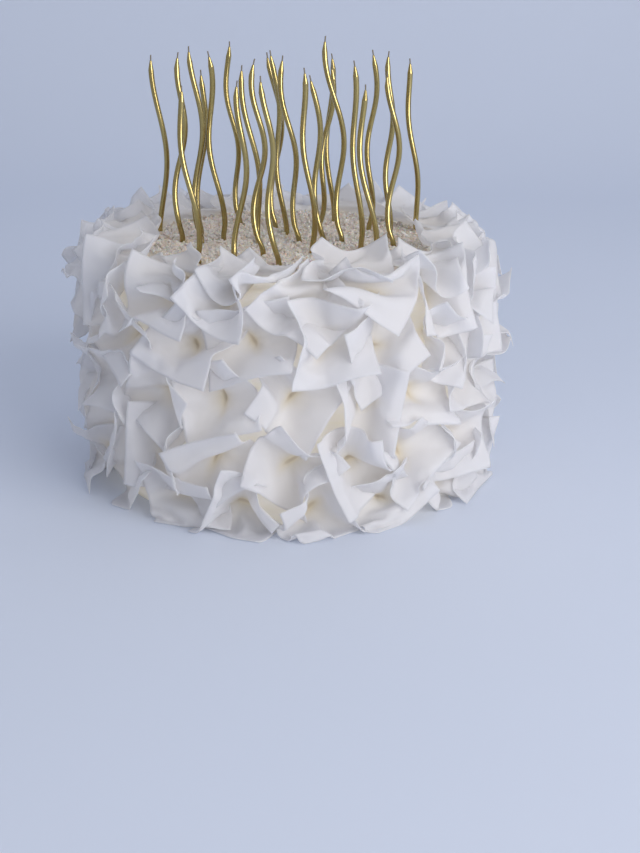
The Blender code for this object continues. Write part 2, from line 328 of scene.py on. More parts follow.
def candle_gold():
    """Streaky gold lacquer, and string at the wick."""
    made = Finish("candle_gold")
    where = made.place()
    wick = made.painted("wick")
    along = made.node("Mapping", {}, {"Vector": where, "Scale": (1, 1, 0.08)})
    streaks = made.noise(900.0, 3.0, along)
    patches = made.noise(60.0, 2.0, where)
    gold = made.blend(streaks * 0.5 + patches * 0.4, GOLD_BRIGHT, GOLD_OLIVE)
    colour = made.blend(wick, gold, WICK_DARK)
    normal = made.bump(streaks * 0.5 + made.noise(260.0, 2.0, where), 0.0002, 0.35)
    made.feed(made.shader, {"Base Color": colour, "Metallic": (1 - wick) * 0.93})
    made.feed(made.shader, {"Roughness": 0.08 + streaks * 0.09 + wick * 0.5, "Normal": normal})
    made.feed(made.shader, {"Coat Weight": (1 - wick) * 0.6, "Coat Roughness": 0.12})
    return made.material


CANDLE_GOLD = candle_gold()
print("finish", CANDLE_GOLD.name)

# %% [markdown]
# Meshes come from arrays of points and faces. One helper makes the object, paints its numbers on
# the points, hides the solid that it stands for and hangs it on the root body. Another joins
# rings of points with quads, which every turned shape needs.

# %% Making a piece


def piece(name, points, faces, finish, node, painted=None):
    """A mesh object that stands for a solid of the frame."""
    mesh = bpy.data.meshes.new(name)
    mesh.from_pydata(np.asarray(points).tolist(), [], faces)
    for label, values in (painted or {}).items():
        layer = mesh.attributes.new(label, "FLOAT", "POINT")
        layer.data.foreach_set("value", np.asarray(values, np.float32))
    mesh.materials.append(finish)
    mesh.shade_smooth()
    made = bpy.data.objects.new(name, mesh)
    bpy.context.scene.collection.objects.link(made)
    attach(made, "root")
    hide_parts(node)
    return made


def ring_quads(count, sides):
    """Quads that join rings of points to each other, for a number of points in all."""
    return [
        (low + side, low + (side + 1) % sides, low + sides + (side + 1) % sides, low + sides + side)
        for low in range(0, count - sides, sides) for side in range(sides)
    ]


def unit(vector):
    return vector / np.linalg.norm(vector)


print("piece helpers ready")

# %% [markdown]
# The frosted body is a turned shape. Its side is pushed in and out by less than a millimetre, as
# a palette knife leaves it, and stays inside the solid's radius.

# %% Frosted body
CAKE_RADIUS = 0.118
CAKE_HEIGHT = 0.153
EDGE_ROUND = 0.006
BODY_SIDES, SIDE_RINGS, EDGE_RINGS, TOP_RINGS = 180, 44, 8, 22
TOP_HOLE = 0.002
KNIFE_DEPTH = 0.0009
KNIFE_SCALE = (30, 30, 70)


def body_profile():
    """Radius and height up the side, round the edge and in to the middle."""
    inner, low = CAKE_RADIUS - EDGE_ROUND, CAKE_HEIGHT - EDGE_ROUND
    side = [(CAKE_RADIUS, z) for z in np.linspace(0, low, SIDE_RINGS)]
    arc = np.linspace(0, pi / 2, EDGE_RINGS)[1:]
    edge = [(inner + EDGE_ROUND * cos(a), low + EDGE_ROUND * sin(a)) for a in arc]
    top = [(r, CAKE_HEIGHT) for r in np.linspace(inner, TOP_HOLE, TOP_RINGS)[1:]]
    return side + edge + top


def frosted_body():
    """The cake under its paper, and how many points it has."""
    profile = body_profile()
    points = []
    for radius, height in profile:
        for side in range(BODY_SIDES):
            angle = 2 * pi * side / BODY_SIDES
            where = Vector((radius * cos(angle), radius * sin(angle), height)) * Vector(KNIFE_SCALE)
            push = KNIFE_DEPTH * (noise.noise(where) - 1) if height > 0 else 0
            points.append(((radius + push) * cos(angle), (radius + push) * sin(angle), height))
    foot = tuple(reversed(range(BODY_SIDES)))
    lid = tuple(range(len(points) - BODY_SIDES, len(points)))
    faces = [foot] + ring_quads(len(points), BODY_SIDES) + [lid]
    piece("frosting", points, faces, BUTTERCREAM, "frosted_cake")
    return len(points)


print("frosting points", frosted_body())

# %% [markdown]
# The sheets will have to make room for the candles, so the candles' lines come first. Each line
# follows its solid's: a wave that eases in above a straight foot, and a slight lean. It is worked
# out on whole arrays, since the sheets ask for it thousands of times.

# %% Where the candles stand
GAP = 0.0003
BED_THICKNESS = 0.004
BED_FLOOR = CAKE_HEIGHT + GAP
BED_TOP = BED_FLOOR + BED_THICKNESS
CANDLE_RADIUS = 0.0019
EASE_IN = 0.012
DEPTH_SWING = 0.7
# Each candle in millimetres and degrees: foot x and y, height above the bed, lean to the right at
# its tip, swing of its wave, length of one wave, turn of the wave at the foot
CANDLES = np.array([
    (-84, 24, 119, -3, 3.7, 117, 285),
    (-73, -6, 124, 5, 3.0, 81, 115),
    (-56, -62, 111, -11, 2.6, 93, 350),
    (-58, -8, 128, -2, 3.6, 99, 170),
    (-60, 12, 111, 5, 2.4, 88, 150),
    (-44, -2, 125, -9, 3.0, 92, 20),
    (-33, 49, 125, -9, 2.6, 75, 190),
    (-31, -57, 113, 3, 3.6, 97, 240),
    (-17, -5, 116, -12, 2.8, 96, 270),
    (-18, -41, 124, -1, 4.0, 82, 150),
    (-8, -72, 118, -6, 2.7, 80, 115),
    (-7, 40, 119, -3, 4.5, 105, 205),
    (-3, 20, 123, -7, 2.2, 86, 85),
    (8, -5, 122, -12, 2.9, 81, 190),
    (17, -37, 119, -9, 2.2, 84, 330),
    (22, -20, 112, -6, 3.0, 88, 130),
    (38, -2, 134, -11, 4.3, 102, 205),
    (30, 56, 117, -2, 2.6, 99, 80),
    (47, -32, 123, -7, 2.0, 90, 15),
    (54, -60, 112, -10, 3.4, 98, 25),
    (55, 28, 123, 2, 2.6, 79, 10),
    (67, 8, 124, 0, 2.1, 71, 50),
    (70, -18, 114, -3, 3.9, 88, 185),
    (90, 29, 117, -11, 1.8, 79, 280),
    (21, 34, 113, 9, 2.3, 73, 10),
])


def candle_line(candle, rise):
    """Middle of a candle, or of many, at heights above the bed, in metres."""
    foot_x, foot_y, height, lean, swing, wave, turn = candle
    above = np.maximum(rise * 1000, 0)
    start = np.radians(turn)
    angle = 2 * pi * above / wave + start
    ease = np.minimum(above / (EASE_IN * 1000), 1)
    ease = ease * ease * (3 - 2 * ease)
    sway = swing * (np.sin(angle) - np.sin(start)) * ease
    x = foot_x + swing * np.sin(start) + lean * above / height + sway
    y = foot_y + DEPTH_SWING * swing * (np.cos(angle) - np.cos(start)) * ease
    return np.stack([x, y], axis=-1) / 1000


print(len(CANDLES), "candle lines")

# %% [markdown]
# Each petal is a square of paper, pushed in at its middle. Paper doesn't stretch, so it folds into
# a cone whose rays stay straight, and whose directions trace a closed line of length 2 pi on a
# unit sphere. That rule alone makes believable folds. The petals' places and folds repeat the
# ones of the solids, with the same draws of chance, so every solid fold gets its paper.

# %% Where the petals are
PETAL_SIDE = 0.058
PETAL_LIFT = 0.0012
PETAL_LAYERS = 0.007
PETAL_RAYS = 72
PETAL_SEED = 11
STEP_DRIFT, HEIGHT_DRIFT = 0.1, 0.004
AXIS_TURN, AXIS_TILT = 14, 13
NEARLY_UP = (0.3, 0.2, 1)
# Each ring: radius, height, rise of its petals' axes, number of petals, bearing of the first
PETAL_RINGS = (
    (CAKE_RADIUS, 0.017, 4, 18, -102),
    (CAKE_RADIUS, 0.049, 0, 19, -91),
    (CAKE_RADIUS, 0.086, 2, 19, -107),
    (CAKE_RADIUS, 0.120, 6, 19, -101),
    (0.1165, 0.1450, 30, 18, -86),
    (0.1050, CAKE_HEIGHT, 56, 13, -100),
)


def outward(angle, rise):
    """Direction away from the cake's axis, raised by an angle."""
    return np.array([cos(angle) * cos(rise), sin(angle) * cos(rise), sin(rise)])


def petal_sites():
    """Pinch point, axis and two cross directions of every petal, ring by ring."""
    draw = np.random.default_rng(PETAL_SEED)
    sites = []
    for index, (radius, height, rise, count, start) in enumerate(PETAL_RINGS):
        for step in range(count):
            angle = radians(start) + 2 * pi * (step + draw.uniform(-STEP_DRIFT, STEP_DRIFT)) / count
            lift = draw.uniform(-HEIGHT_DRIFT, HEIGHT_DRIFT) if index < len(PETAL_RINGS) - 1 else 0.0
            pinch = outward(angle, 0) * radius + np.array([0, 0, height + lift])
            turned = angle + radians(draw.uniform(-AXIS_TURN, AXIS_TURN))
            axis = outward(turned, radians(rise + draw.uniform(-AXIS_TILT, AXIS_TILT)))
            layer = PETAL_LIFT + draw.uniform(0, PETAL_LAYERS)
            pinch = pinch + axis * layer
            spin = draw.uniform(0, pi / 2)
            across = unit(np.cross(axis, NEARLY_UP))
            above = np.cross(axis, across)
            side = across * cos(spin) + above * sin(spin)
            sites.append((pinch, axis, side, np.cross(axis, side), index))
    return sites


SITES = petal_sites()
print(len(SITES), "petals")

# %% [markdown]
# A petal's opening angle swings two or three times on the way round, which gives it two or three
# valleys. The mean opening is found by halving, until the cone closes.

# %% How a petal folds
LEAST_OPENING = 0.15
FOLD_WAVES = (2, 2, 3)
FOLD_DEPTH, MINOR_DEPTH = (0.62, 0.86), (0.1, 0.3)
NARROWEST_MEAN, WIDEST_MEAN, HALVINGS = 0.3, pi / 2, 30
LEAST_ALONG = 0.01


def fold_of(draw):
    """Waves of the opening angle, with depth and turn of the main and the minor swing."""
    waves = draw.choice(FOLD_WAVES)
    depth = draw.uniform(*FOLD_DEPTH) / waves
    minor = draw.uniform(*MINOR_DEPTH) / (waves + 1)
    return waves, depth, draw.uniform(0, 2 * pi), minor, draw.uniform(0, 2 * pi)


def cone_directions(fold):
    """Flat angle, opening angle and bearing of the rays of a folded square."""
    waves, depth, turn, minor, minor_turn = fold
    flat = np.linspace(0, 2 * pi, PETAL_RAYS, endpoint=False)
    swing = depth * np.cos(waves * flat + turn) + minor * np.cos((waves + 1) * flat + minor_turn)
    slope = -waves * depth * np.sin(waves * flat + turn)
    slope = slope - (waves + 1) * minor * np.sin((waves + 1) * flat + minor_turn)
    along = np.sqrt(np.maximum(1 - slope**2, LEAST_ALONG)) * 2 * pi / len(flat)
    low, high = NARROWEST_MEAN, WIDEST_MEAN
    for _ in range(HALVINGS):
        mean = (low + high) / 2
        steps = along / np.sin(np.clip(mean + swing, LEAST_OPENING, pi - LEAST_OPENING))
        low, high = (mean, high) if steps.sum() > 2 * pi else (low, mean)
    bearing = np.cumsum(steps) * 2 * pi / steps.sum()
    return flat, mean + swing, bearing


print("one fold opens to", np.degrees(cone_directions(fold_of(np.random.default_rng(1)))[1]).round()[::12])

# %% [markdown]
# A sheet is a square grid of points. Pushing it in at the middle sends each point along the ray of
# its own flat direction, at its own flat distance. This is the form that the petal would take if
# it stood alone.

# %% A petal standing alone
GRID = 17
MIDDLE = GRID // 2
GRID_STEP = PETAL_SIDE / (GRID - 1)
TICKS = (np.arange(GRID) - MIDDLE) * GRID_STEP
FLAT_X, FLAT_Y = (values.ravel() for values in np.meshgrid(TICKS, TICKS, indexing="ij"))
FLAT_REACH = np.hypot(FLAT_X, FLAT_Y)


def folded_square(site, fold):
    """Points of a square grid that is folded into its cone."""
    pinch, axis, side, up, _ = site
    flat, opening, bearing = cone_directions(fold)
    turn = np.arctan2(FLAT_Y, FLAT_X) % (2 * pi)
    tilt = np.interp(turn, flat, opening, period=2 * pi)
    around = np.interp(turn, np.append(flat, 2 * pi), np.append(bearing, bearing[0] + 2 * pi))
    away = np.outer(np.cos(around), side) + np.outer(np.sin(around), up)
    rays = np.cos(tilt)[:, None] * axis + np.sin(tilt)[:, None] * away
    return pinch + FLAT_REACH[:, None] * rays


FOLD_DRAW = np.random.default_rng(PETAL_SEED + 2)
ALONE = np.array([folded_square(site, fold_of(FOLD_DRAW)) for site in SITES])
PINCHES = np.array([site[0] for site in SITES])
print("points in all sheets", ALONE.shape[0] * ALONE.shape[1])

# %% [markdown]
# Real petals crowd each other: they press, slide over one another and roll away. This can be had
# by growing all the sheets at once from small ones that don't touch. After each bit of growth, the
# threads of each grid are brought back to their lengths, which keeps paper from stretching, and
# longer threads that skip points are pulled straight, which is its stiffness.

# %% Threads of the paper
# Each kind of thread: rows and columns that it spans, and its strength
THREADS = (
    ((1, 0), 0.9), ((0, 1), 0.9), ((1, 1), 0.7), ((1, -1), 0.7),
    ((2, 0), 0.2), ((0, 2), 0.2), ((4, 0), 0.03), ((0, 4), 0.03), ((3, 3), 0.03), ((3, -3), 0.03),
)


def thread_sets():
    """Pairs of grid points that a kind of thread joins, in sets that share no point."""
    sets = []
    for (rows, columns), strength in THREADS:
        stride = max(rows, columns)
        first_i, first_j = np.meshgrid(np.arange(GRID), np.arange(GRID), indexing="ij")
        last_i, last_j = first_i + rows, first_j + columns
        inside = (last_i < GRID) & (last_j >= 0) & (last_j < GRID)
        lane = (first_i if rows else first_j) // stride % 2
        for turn in (0, 1):
            chosen = inside & (lane == turn)
            first = first_i[chosen] * GRID + first_j[chosen]
            last = last_i[chosen] * GRID + last_j[chosen]
            sets.append((first, last, GRID_STEP * np.hypot(rows, columns), strength))
    return sets


def tighten(sheets, sets, growth):
    """Brings every thread nearer to its length."""
    for first, last, length, strength in sets:
        apart = sheets[:, last] - sheets[:, first]
        distance = np.linalg.norm(apart, axis=2, keepdims=True) + 1e-9
        move = apart * (0.5 * strength * (distance - length * growth) / distance)
        sheets[:, first] += move
        sheets[:, last] -= move


THREAD_SETS = thread_sets()
print(len(THREAD_SETS), "sets of threads")

# %% [markdown]
# Sheets may not pass through each other, so points of different sheets keep a few millimetres
# apart. Testing all pairs would take too long. Points are sorted into small cubes instead, and
# each is compared with those of its own and half of the neighbouring cubes.

# %% Keeping sheets apart
KEEP_APART = 0.0032
SEARCH_REACH = 0.0056
OVER_PUSH = 1.4
NEXT = (-1, 0, 1)
HALF_AROUND = [(x, y, z) for x in NEXT for y in NEXT for z in NEXT if (x, y, z) >= (0, 0, 0)]


def near_pairs(points, owner):
    """Pairs of points of different sheets that lie within the search reach."""
    cell = np.floor(points / SEARCH_REACH).astype(np.int64)
    cell -= cell.min(axis=0)
    span = cell.max(axis=0) + 2
    key = (cell[:, 0] * span[1] + cell[:, 1]) * span[2] + cell[:, 2]
    order = np.argsort(key, kind="stable")
    sorted_key = key[order]
    first, last = [], []
    for x, y, z in HALF_AROUND:
        wanted = key + (x * span[1] + y) * span[2] + z
        low = np.searchsorted(sorted_key, wanted, "left")
        count = np.searchsorted(sorted_key, wanted, "right") - low
        for extra in range(count.max()):
            mine = np.flatnonzero(count > extra)
            theirs = order[low[mine] + extra]
            real = owner[mine] != owner[theirs]
            if (x, y, z) == (0, 0, 0):
                real &= mine < theirs
            mine, theirs = mine[real], theirs[real]
            close = np.linalg.norm(points[mine] - points[theirs], axis=1) < SEARCH_REACH
            first.append(mine[close])
            last.append(theirs[close])
    return np.concatenate(first), np.concatenate(last)


def push_apart(points, first, last):
    """Moves points that are too near each other apart, averaged over a point's contacts."""
    apart = points[last] - points[first]
    distance = np.linalg.norm(apart, axis=1) + 1e-9
    deep = np.maximum(KEEP_APART - distance, 0)
    touching = (deep > 0).astype(float)
    count = np.bincount(first, touching, len(points)) + np.bincount(last, touching, len(points))
    move = apart * (0.5 * deep / distance)[:, None]
    for axis in range(3):
        shift = np.bincount(last, move[:, axis], len(points))
        shift -= np.bincount(first, move[:, axis], len(points))
        points[:, axis] += OVER_PUSH * shift / np.maximum(count, 1)


print("contact helpers ready")

# %% [markdown]
# The cake stops the sheets on the inside, the table is below, and a gentle hand has patted the
# whole coat to an even thickness on the outside. At the top, petals stay out of the sugar, but
# those at the sides and the back lean a little way over it, and bend round the candles there.

# %% Cake, table and hand
SKIN = 0.0012
BED_CLEARANCE = 0.1005
COAT_LEVELS = (0.0, 0.03, 0.06, 0.12, 0.16, 0.19)
COAT_RADII = (0.143, 0.147, 0.1485, 0.1485, 0.145, 0.135)
COAT_PRESS = (-0.010, 0.0)
COAT_TOP, COAT_TOP_SLOPE = 0.163, -0.02
TOP_PRESS = (-0.009, 0.003)
CORNER_START, CORNER_PROUD = 0.024, 0.009
CORNER_OUT, CORNER_UP = 0.6, 1.7
LEAN_RADIUS, LEAN_HEIGHT, LEAN_ROOM = 0.074, 0.1614, 0.0022
CANDLE_ROOM = 0.0032


def keep_out_of_cake(points, skin):
    """Moves points that are in the frosting to just above it, and tells their radius."""
    radius = np.linalg.norm(points[:, :2], axis=1)
    inside = (radius < CAKE_RADIUS + skin) & (points[:, 2] < CAKE_HEIGHT + skin)
    below = CAKE_HEIGHT + skin - points[:, 2]
    lifted = inside & (below < CAKE_RADIUS + skin - radius)
    points[lifted, 2] = CAKE_HEIGHT + skin
    wanted = np.where(inside & ~lifted, CAKE_RADIUS + skin, radius)
    points[:, :2] *= (wanted / radius)[:, None]
    return wanted


def keep_out_of_sugar(points, radius):
    """Lifts points that lean over the sugar clear of it, and tells the radius that all may have."""
    front = np.clip(-points[:, 1] / radius, 0, 1)
    lean = LEAN_RADIUS + (BED_CLEARANCE - LEAN_RADIUS) * front**2
    low = (points[:, 2] > CAKE_HEIGHT) & (points[:, 2] < LEAN_HEIGHT) & (radius < BED_CLEARANCE)
    lifted = low & (radius > lean) & (LEAN_HEIGHT - points[:, 2] < BED_CLEARANCE - radius)
    points[lifted, 2] = LEAN_HEIGHT
    wanted = np.where(low & ~lifted, BED_CLEARANCE, radius)
    return np.where(points[:, 2] > CAKE_HEIGHT, np.maximum(wanted, lean), wanted)


def keep_off_candles(points):
    """Moves points that are too near a candle away from it."""
    radius = np.hypot(points[:, 0], points[:, 1])
    near = np.flatnonzero((points[:, 2] > CAKE_HEIGHT) & (radius < BED_CLEARANCE))
    away = points[near, :2] - candle_line(CANDLES.T[:, :, None], points[near, 2] - BED_TOP)
    distance = np.linalg.norm(away, axis=2)
    closest, each = distance.argmin(axis=0), np.arange(len(near))
    away, distance = away[closest, each], distance[closest, each] + 1e-9
    points[near, :2] += away * (np.maximum(CANDLE_ROOM - distance, 0) / distance)[:, None]


def keep_room(points, press, top_press):
    """Moves points out of the cake, the table and the sugar, and back under the hand."""
    radius = keep_out_of_cake(points, SKIN)
    wanted = keep_out_of_sugar(points, radius)
    wanted = np.minimum(wanted, np.interp(points[:, 2], COAT_LEVELS, COAT_RADII) + press)
    points[:, :2] *= (wanted / radius)[:, None]
    top = COAT_TOP + COAT_TOP_SLOPE * points[:, 1] + top_press
    top = np.where(wanted < BED_CLEARANCE, np.maximum(top, LEAN_HEIGHT + LEAN_ROOM), top)
    points[:, 2] = np.clip(points[:, 2], SKIN, top)
    keep_off_candles(points)


print("room for the coat", COAT_RADII)

# %% [markdown]
# Growing takes a few seconds. The middle of each sheet stays pressed in the frosting, the ring
# round it stays nearly in its folds, and the rest is drawn only faintly to the form it has alone.

# %% Grow the petals
START_SIZE = 0.4
GROWTH_STEPS = 90
SETTLE_STEPS = 40
SEARCH_EVERY, ROUNDS = 3, 3
FORM_PULL = 0.08
HEEL_PULL, HEEL_REACH = 0.4, 1.6 * GRID_STEP


def grow_petals():
    """Points of all the sheets, after they have grown from small ones and settled."""
    draw = np.random.default_rng(PETAL_SEED + 4)
    count = len(SITES)
    centre = PINCHES[:, None]
    corner_share = (FLAT_REACH - CORNER_START) / (FLAT_REACH.max() - CORNER_START)
    corner = CORNER_PROUD * np.clip(corner_share, 0, 1)
    press = (draw.uniform(*COAT_PRESS, count)[:, None] + CORNER_OUT * corner).ravel()
    top_press = (draw.uniform(*TOP_PRESS, count)[:, None] + CORNER_UP * corner).ravel()
    owner = np.repeat(np.arange(count), GRID * GRID)
    pull = np.where(FLAT_REACH < HEEL_REACH, HEEL_PULL, FORM_PULL)[None, :, None]
    sheets = centre + START_SIZE * (ALONE - centre)
    for step in range(GROWTH_STEPS + SETTLE_STEPS):
        growth = START_SIZE + (1 - START_SIZE) * min(1, step / GROWTH_STEPS)
        if step % SEARCH_EVERY == 0:
            first, last = near_pairs(sheets.reshape(-1, 3), owner)
        sheets += pull * (centre + growth * (ALONE - centre) - sheets)
        for _ in range(ROUNDS):
            tighten(sheets, THREAD_SETS, growth)
            points = sheets.reshape(-1, 3)
            push_apart(points, first, last)
            keep_room(points, press, top_press)
            sheets[:, MIDDLE * GRID + MIDDLE] = PINCHES
    return sheets


SHEETS = grow_petals()
print("grown", SHEETS.min(axis=(0, 1)).round(4), SHEETS.max(axis=(0, 1)).round(4))

# %% [markdown]
# The coarse grid is refined once with the weights of a cubic spline, which rounds it and keeps its
# edges. Then the pinch is pressed in: where a stick pushed the moist paper into the frosting, the
# sheet falls into a short, steep crease.

# %% Refine the sheets and press the pinches in
FINE = 2 * GRID - 1
PINCH_DEPTH = 0.008
PINCH_LENGTH, PINCH_WIDTH = 0.0090, 0.0032
PINCH_DRAW = (0.7, 1.1)
# how strong and how far the painted warm light spreads round the pinch
PINCH_LIGHT_SHARE, PINCH_LIGHT_REACH = 0.5, 0.009
PRESSED_SKIN = 0.0004


def refining():
    """Weights that turn a row of grid points into a row of fine ones."""
    weights = np.zeros((FINE, GRID))
    for fine in range(FINE):
        coarse = fine // 2
        if fine % 2:
            weights[fine, coarse] = weights[fine, coarse + 1] = 0.5
        elif 0 < coarse < GRID - 1:
            weights[fine, coarse - 1: coarse + 2] = 0.125, 0.75, 0.125
        else:
            weights[fine, coarse] = 1
    return weights


def pressed_sheets(sheets):
    """Fine sheets with creases, and each point's nearness to the crease and flat place beside it."""
    draw = np.random.default_rng(PETAL_SEED + 5)
    weights = refining()
    fine = np.einsum("ai,bj,nijc->nabc", weights, weights, sheets.reshape(-1, GRID, GRID, 3))
    fine = fine.reshape(len(sheets), FINE * FINE, 3)
    ticks = np.linspace(-PETAL_SIDE / 2, PETAL_SIDE / 2, FINE)
    x, y = (values.ravel() for values in np.meshgrid(ticks, ticks, indexing="ij"))
    nearness, places = [], []
    for sheet, site in zip(fine, SITES):
        turn = draw.uniform(0, pi)
        along, across = x * cos(turn) + y * sin(turn), y * cos(turn) - x * sin(turn)
        near = np.exp(-np.hypot(along / PINCH_LENGTH, across / PINCH_WIDTH))
        sheet -= PINCH_DEPTH * draw.uniform(*PINCH_DRAW) * near[:, None] * site[1]
        keep_out_of_cake(sheet, PRESSED_SKIN)
        keep_off_candles(sheet)
        nearness.append(np.maximum(near, PINCH_LIGHT_SHARE * np.exp(-np.hypot(x, y) / PINCH_LIGHT_REACH)))
        places.append((along, across))
    return fine, np.array(nearness), np.array(places)


FINE_SHEETS, NEARNESS, CREASE_PLACES = pressed_sheets(SHEETS)
print("fine points", FINE_SHEETS.shape[0] * FINE_SHEETS.shape[1])

# %% [markdown]
# The sheets become meshes, ring by ring, and a Solidify modifier gives the paper its thickness.
# Each point also carries where it lies by the crease and how deep in the coat, for the painted light
# and shade in its colour.

# %% The paper petals
PAPER_THICKNESS = 0.0004
COAT_DEPTH = 0.022


def sheet_faces(start):
    """Quads of one square grid, whose points begin at a number."""
    corners = [start + row * FINE + column for row in range(FINE - 1) for column in range(FINE - 1)]
    return [(corner, corner + FINE, corner + FINE + 1, corner + 1) for corner in corners]


def paper_rings():
    """One piece for each ring of petals."""
    draw = np.random.default_rng(PETAL_SEED + 3)
    tones = draw.uniform(0, 1, len(SITES))
    ring_of = np.array([site[4] for site in SITES])
    for ring in range(len(PETAL_RINGS)):
        members = np.flatnonzero(ring_of == ring)
        faces = [face for place in range(len(members)) for face in sheet_faces(place * FINE * FINE)]
        points = FINE_SHEETS[members].reshape(-1, 3)
        beside = np.linalg.norm(points[:, :2], axis=1) - CAKE_RADIUS
        stand_off = np.maximum(beside, points[:, 2] - CAKE_HEIGHT)
        painted = {
            # the mask of the painted pinch light and crease shade
            "crease": NEARNESS[members].ravel(),
            "along": CREASE_PLACES[members, 0].ravel(),
            "across": CREASE_PLACES[members, 1].ravel(),
            # how deep in the coat, for the painted shade there
            "buried": 1 - np.clip(stand_off / COAT_DEPTH, 0, 1),
            "tone": np.repeat(tones[members], FINE * FINE),
        }
        name = f"paper_ring_{ring + 1}"
        made = piece(name, points, faces, PAPER, "frosted_cake", painted)
        shell = made.modifiers.new("thickness", "SOLIDIFY")
        shell.thickness = PAPER_THICKNESS
        shell.offset = 0
        print(made.name, len(members), "petals")


paper_rings()

# %% [markdown]
# The layer of sugar is a rough bed with thousands of loose grains on it. A grain is the hull of a
# few random points, which gives the flat faces of a broken crystal. A dozen kinds, turned and
# sized by chance, are copied into one mesh with array sums.

# %% Sugar grains
BED_RADIUS = 0.095
GRAIN_COUNT = 6600
GRAIN_KINDS = 12
GRAIN_POINTS = 11
GRAIN_SHAPE, GRAIN_CHIPS = (1.0, 0.85, 0.7), (0.75, 1.0)
GRAIN_SIZES = (0.0010, 0.0027)
GRAIN_HEAP, GRAIN_SINK = 0.0016, 0.0006
GRAIN_MARGIN = 0.001
GRAIN_SEED = 21


def grain_kind(draw):
    """Points and triangles of one broken crystal of unit size."""
    bm = bmesh.new()
    for point in draw.normal(size=(GRAIN_POINTS, 3)):
        bm.verts.new(unit(point) * draw.uniform(*GRAIN_CHIPS) * GRAIN_SHAPE)
    hull = bmesh.ops.convex_hull(bm, input=bm.verts)
    bmesh.ops.delete(bm, geom=list(hull["geom_interior"]), context="VERTS")
    bmesh.ops.triangulate(bm, faces=bm.faces)
    bm.verts.index_update()
    points = np.array([vert.co[:] for vert in bm.verts])
    faces = np.array([[vert.index for vert in face.verts] for face in bm.faces])
    bm.free()
    return points, faces


def random_turns(draw, count):
    """Rotation matrices, evenly spread, from random quaternions."""
    w, x, y, z = draw.normal(size=(4, count))
    size = np.sqrt(w * w + x * x + y * y + z * z)
    w, x, y, z = w / size, x / size, y / size, z / size
    rows = [
        [1 - 2 * (y * y + z * z), 2 * (x * y - w * z), 2 * (x * z + w * y)],
        [2 * (x * y + w * z), 1 - 2 * (x * x + z * z), 2 * (y * z - w * x)],
        [2 * (x * z - w * y), 2 * (y * z + w * x), 1 - 2 * (x * x + y * y)],
    ]
    return np.moveaxis(np.array(rows), 2, 0)


def sugar_grains():
    """All the loose grains in one piece."""
    draw = np.random.default_rng(GRAIN_SEED)
    points, faces, tone = [], [], []
    start = 0
    for kind in range(GRAIN_KINDS):
        shape, triangles = grain_kind(draw)
        count = GRAIN_COUNT // GRAIN_KINDS
        radius = (BED_RADIUS - GRAIN_MARGIN) * np.sqrt(draw.uniform(0, 1, count))
        angle = draw.uniform(0, 2 * pi, count)
        size = draw.uniform(*GRAIN_SIZES, count)
        height = BED_TOP + draw.uniform(0, GRAIN_HEAP, count) - GRAIN_SINK
        centre = np.stack([radius * np.cos(angle), radius * np.sin(angle), height], axis=1)
        turned = np.einsum("nij,pj->npi", random_turns(draw, count), shape)
        placed = centre[:, None] + turned * size[:, None, None]
        points.append(placed.reshape(-1, 3))
        faces.append((start + np.arange(count)[:, None, None] * len(shape) + triangles).reshape(-1, 3))
        tone.append(np.repeat(draw.uniform(0, 1, count) ** 1.5, len(shape)))
        start += count * len(shape)
    made = piece(
        "sugar_grains", np.concatenate(points), np.concatenate(faces).tolist(), SUGAR_GRAIN,
        "sugar_crystals", {"tone": np.concatenate(tone)},
    )
    made.data.shade_flat()
    return sum(len(part) for part in faces)


print("grain triangles", sugar_grains())

# %% [markdown]
# Under the loose grains the sugar is packed. A disc of rings with small random drops fills the
# gaps between the grains, so that no buttercream shines through.

# %% The bed under the grains
BED_RINGS, BED_SIDES = 40, 120
EDGE_DROP, BED_DROP = 0.0012, 0.0011
BED_SEED = 22


def sugar_bed():
    """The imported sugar: rings from the foot over the edge to the middle, and the flat underside."""
    draw = np.random.default_rng(BED_SEED)
    sides = 2 * pi * np.arange(BED_SIDES) / BED_SIDES
    points = [(BED_RADIUS * cos(angle), BED_RADIUS * sin(angle), BED_FLOOR) for angle in sides]
    for index in range(BED_RINGS + 1):
        radius = BED_RADIUS * (1 - index / (BED_RINGS + 0.5))
        for angle in sides:
            drop = draw.uniform(0, BED_DROP) if index else EDGE_DROP
            points.append((radius * cos(angle), radius * sin(angle), BED_TOP - drop))
    underside = tuple(reversed(range(BED_SIDES)))
    middle = tuple(range(len(points) - BED_SIDES, len(points)))
    faces = [underside] + ring_quads(len(points), BED_SIDES) + [middle]
    piece("sugar_bed", points, faces, SUGAR_DUST, "sugar_crystals")
    return len(faces)


print("bed faces", sugar_bed())

# %% [markdown]
# The candles are thin rods in a loose, stretched helix, each one bent a little differently. A
# rod is drawn as rings of points up its line, narrowed to a cone at the tip, with a short wick.

# %% Candles
CANDLE_SIDES = 18
CANDLE_DEPTH = 0.022
CANDLE_STEPS = 70
CONE_LENGTH = 0.0062
WICK_LENGTH = 0.0036
ROD_RADIUS = 0.97 * CANDLE_RADIUS
CONE_TIP_RADIUS, WICK_RADIUS = 0.0007, 0.00045
WICK_END = 0.6
SHOULDER_CUT = 0.0003
CONE_SHARES = np.array([0.04, 0.2, 0.4, 0.6, 0.8, 0.96, 1.0])
WICK_SHARES = np.array([0.98, 0.6, 0.3, 0.04, 0.0])


def candle_radius(rise, shoulder):
    """The rod's radius at a height: a straight body, a cone like a pencil's and the wick."""
    if rise <= shoulder:
        return ROD_RADIUS
    share = (rise - shoulder) / CONE_LENGTH
    if share < 1:
        return CONE_TIP_RADIUS + (ROD_RADIUS - CONE_TIP_RADIUS) * (1 - share)
    return WICK_RADIUS


